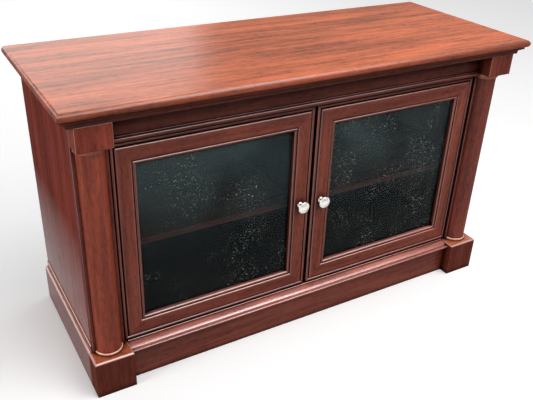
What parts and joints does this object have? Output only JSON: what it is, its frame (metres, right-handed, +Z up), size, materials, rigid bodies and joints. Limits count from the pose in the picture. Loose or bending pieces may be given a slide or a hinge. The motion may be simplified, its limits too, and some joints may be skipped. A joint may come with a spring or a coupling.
{
  "type": "low media console",
  "caption": "Low media console with a moulded top, framed glass doors between part-round columns on plinth blocks, and a shelf behind each door.",
  "frame": {"origin": "on the floor, under the middle of the top panel", "axes": "+X to the right as seen from the front, +Y to the back, +Z up"},
  "size_m": [1.212, 0.463, 0.705],
  "materials": {
    "top_wood": "satin lacquered red cherry with long grain",
    "case_wood": "satin lacquered dark cherry",
    "column_wood": "gloss lacquered red cherry",
    "door_wood": "satin lacquered dark cherry",
    "inside_wood": "dull dark cherry foil",
    "back_board": "dull dark hardboard",
    "glass": "clear, slightly grey-green",
    "satin_nickel": "satin nickel",
    "hinge_steel": "nickel plated",
    "black_plastic": "matte black"
  },
  "bodies": {
    "case": {"top_panel": "top_wood", "cornice_front": "case_wood", "cornice_right": "case_wood", "cornice_left": "case_wood", "rear_top_rail": "inside_wood", "frieze_rail": "case_wood", "frieze_moulding": "case_wood", "base_rail": "case_wood", "base_moulding": "case_wood", "bottom_panel": "inside_wood", "centre_upright": "inside_wood", "back_panel": "back_board", "plinth_block_left": "column_wood", "plinth_block_right": "column_wood", "base_ring_left": "column_wood", "base_ring_right": "column_wood", "column_left": "column_wood", "column_right": "column_wood", "column_collar_left": "column_wood", "column_collar_right": "column_wood", "capital_block_left": "column_wood", "capital_block_right": "column_wood", "pilaster_left": "case_wood", "pilaster_right": "case_wood", "side_panel_left": "case_wood", "side_panel_right": "case_wood", "side_skirt_left": "case_wood", "side_skirt_right": "case_wood", "shelf_pin_left_outer_front": "satin_nickel", "shelf_pin_left_outer_rear": "satin_nickel", "shelf_pin_left_inner_front": "satin_nickel", "shelf_pin_left_inner_rear": "satin_nickel", "shelf_pin_right_outer_front": "satin_nickel", "shelf_pin_right_outer_rear": "satin_nickel", "shelf_pin_right_inner_front": "satin_nickel", "shelf_pin_right_inner_rear": "satin_nickel", "hinge_plate_left_lower": "hinge_steel", "hinge_plate_left_upper": "hinge_steel", "hinge_plate_right_lower": "hinge_steel", "hinge_plate_right_upper": "hinge_steel"},
    "left_door": {"door_bottom_rail_left": "door_wood", "door_top_rail_left": "door_wood", "door_hinge_stile_left": "door_wood", "door_meeting_stile_left": "door_wood", "door_glass_left": "glass", "glass_retainer_left": "black_plastic", "door_knob_left": "satin_nickel", "hinge_cup_left_lower": "hinge_steel", "hinge_cup_left_upper": "hinge_steel"},
    "right_door": {"door_bottom_rail_right": "door_wood", "door_top_rail_right": "door_wood", "door_hinge_stile_right": "door_wood", "door_meeting_stile_right": "door_wood", "door_glass_right": "glass", "glass_retainer_right": "black_plastic", "door_knob_right": "satin_nickel", "hinge_cup_right_lower": "hinge_steel", "hinge_cup_right_upper": "hinge_steel"},
    "left_shelf": {"shelf_left": "inside_wood"},
    "right_shelf": {"shelf_right": "inside_wood"}
  },
  "joints": [
    {"name": "left_door_hinge", "type": "hinge", "parent": "case", "child": "left_door", "pos_m": [-0.498, -0.1685, 0.352], "axis": [0, 0, -1], "range_deg": [0, 110]},
    {"name": "right_door_hinge", "type": "hinge", "parent": "case", "child": "right_door", "pos_m": [0.498, -0.1685, 0.352], "axis": [0, 0, 1], "range_deg": [0, 110]},
    {"name": "left_shelf_lift", "type": "slide", "parent": "case", "child": "left_shelf", "axis": [0, 0, 1], "range_m": [0, 0.03]},
    {"name": "right_shelf_lift", "type": "slide", "parent": "case", "child": "right_shelf", "axis": [0, 0, 1], "range_m": [0, 0.03]}
  ]
}
